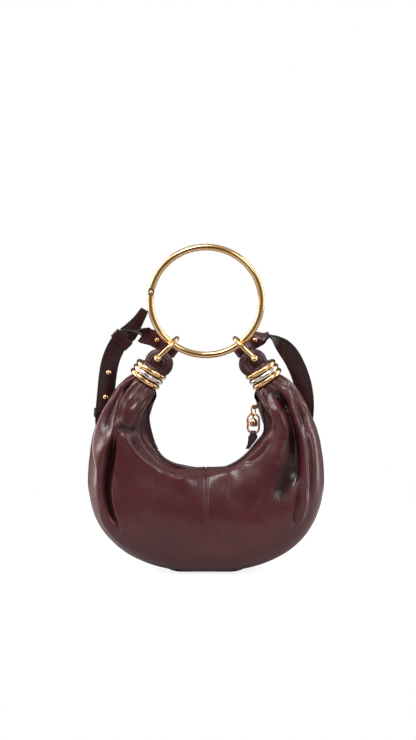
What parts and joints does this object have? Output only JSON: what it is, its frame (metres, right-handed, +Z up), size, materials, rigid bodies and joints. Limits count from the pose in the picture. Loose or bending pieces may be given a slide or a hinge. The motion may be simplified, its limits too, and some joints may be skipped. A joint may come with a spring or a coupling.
{
  "type": "hobo bag",
  "caption": "Crescent hobo bag in gathered leather with ring collars, shackles, a hinged bracelet handle, a curved top zip and a shoulder strap.",
  "frame": {"origin": "centre of the underside of the flat base patch", "axes": "+Z up towards the bracelet, -Y towards the front panel, +X towards the horn with the zip pull"},
  "size_m": [0.236, 0.0949, 0.3299],
  "materials": {
    "bag_leather": "soft grained oxblood leather, semi-gloss",
    "strap_leather": "smooth dark oxblood leather with painted edges",
    "gold_metal": "polished pale gold plate",
    "silver_metal": "satin silver plate",
    "lining_cloth": "matt dark cloth"
  },
  "bodies": {
    "bag": {"front_panel_left": "bag_leather", "front_panel_right": "bag_leather", "back_panel_left": "bag_leather", "back_panel_right": "bag_leather", "base_patch": "bag_leather", "base_plate": "lining_cloth", "lining": "lining_cloth", "inner_pocket": "lining_cloth", "zip_tape_front": "lining_cloth", "zip_tape_back": "lining_cloth", "zip_teeth": "gold_metal", "zip_stop_left": "gold_metal", "zip_stop_right": "gold_metal", "neck_core_left": "bag_leather", "neck_core_right": "bag_leather", "collar_left_lower": "gold_metal", "collar_left_middle": "silver_metal", "collar_left_upper": "gold_metal", "collar_right_lower": "gold_metal", "collar_right_middle": "silver_metal", "collar_right_upper": "gold_metal", "loop_left": "bag_leather", "loop_right": "bag_leather"},
    "slider": {"zip_slider": "gold_metal"},
    "pull": {"pull_link": "gold_metal", "pull_bell": "gold_metal", "pull_ring": "gold_metal"},
    "tab": {"pull_tab": "strap_leather"},
    "shackle_left": {"shackle_left_bow": "gold_metal", "shackle_left_pin": "gold_metal", "strap_tab_left": "strap_leather", "strap_tab_stud_left": "gold_metal"},
    "shackle_right": {"shackle_right_bow": "gold_metal", "shackle_right_pin": "gold_metal", "strap_tab_right": "strap_leather", "strap_tab_stud_right": "gold_metal"},
    "bracelet": {"bracelet_arc": "gold_metal", "bracelet_hinge_pin": "gold_metal"},
    "gate": {"bracelet_gate": "gold_metal"},
    "latch": {"bracelet_latch_button": "gold_metal"},
    "strap": {"strap_long": "strap_leather", "strap_short": "strap_leather", "strap_tongue": "strap_leather", "strap_keeper_upper": "strap_leather", "strap_keeper_lower": "strap_leather", "strap_stud_upper": "gold_metal", "strap_stud_lower": "gold_metal"}
  },
  "joints": [
    {"name": "shackle_left_pivot", "type": "hinge", "parent": "bag", "child": "shackle_left", "pos_m": [-0.0477, 0, 0.2168], "axis": [0, 1, 0], "range_deg": [-3, 2]},
    {"name": "shackle_right_pivot", "type": "hinge", "parent": "bag", "child": "shackle_right", "pos_m": [0.0477, 0, 0.2168], "axis": [0, 1, 0], "range_deg": [-2, 3]},
    {"name": "bracelet_swing", "type": "hinge", "parent": "bag", "child": "bracelet", "pos_m": [0, 0, 0.23], "axis": [1, 0, 0], "range_deg": [-10, 50]},
    {"name": "gate_hinge", "type": "hinge", "parent": "bracelet", "child": "gate", "pos_m": [-0.05379, -0.00836, 0.28278], "axis": [0, 0.9877, 0.1564], "range_deg": [0, 60]},
    {"name": "latch_press", "type": "slide", "parent": "bracelet", "child": "latch", "axis": [0, 0.9877, 0.1564], "range_m": [0, 0.0008], "stiffness_N_per_m": 300},
    {"name": "slider_travel", "type": "hinge", "parent": "bag", "child": "slider", "pos_m": [0, 0, 0.1587], "axis": [0, 1, 0], "range_deg": [0, 145]},
    {"name": "pull_swing", "type": "hinge", "parent": "slider", "child": "pull", "pos_m": [0.04721, 0, 0.16618], "axis": [0, 1, 0], "range_deg": [0, 80]},
    {"name": "tab_swing", "type": "hinge", "parent": "pull", "child": "tab", "pos_m": [0.04721, 0, 0.13968], "axis": [0.9511, -0.309, 0], "range_deg": [-60, 4]},
    {"name": "strap_swing", "type": "hinge", "parent": "bag", "child": "strap", "pos_m": [0, 0.0125, 0.239], "axis": [1, 0, 0], "range_deg": [0, 110]}
  ]
}
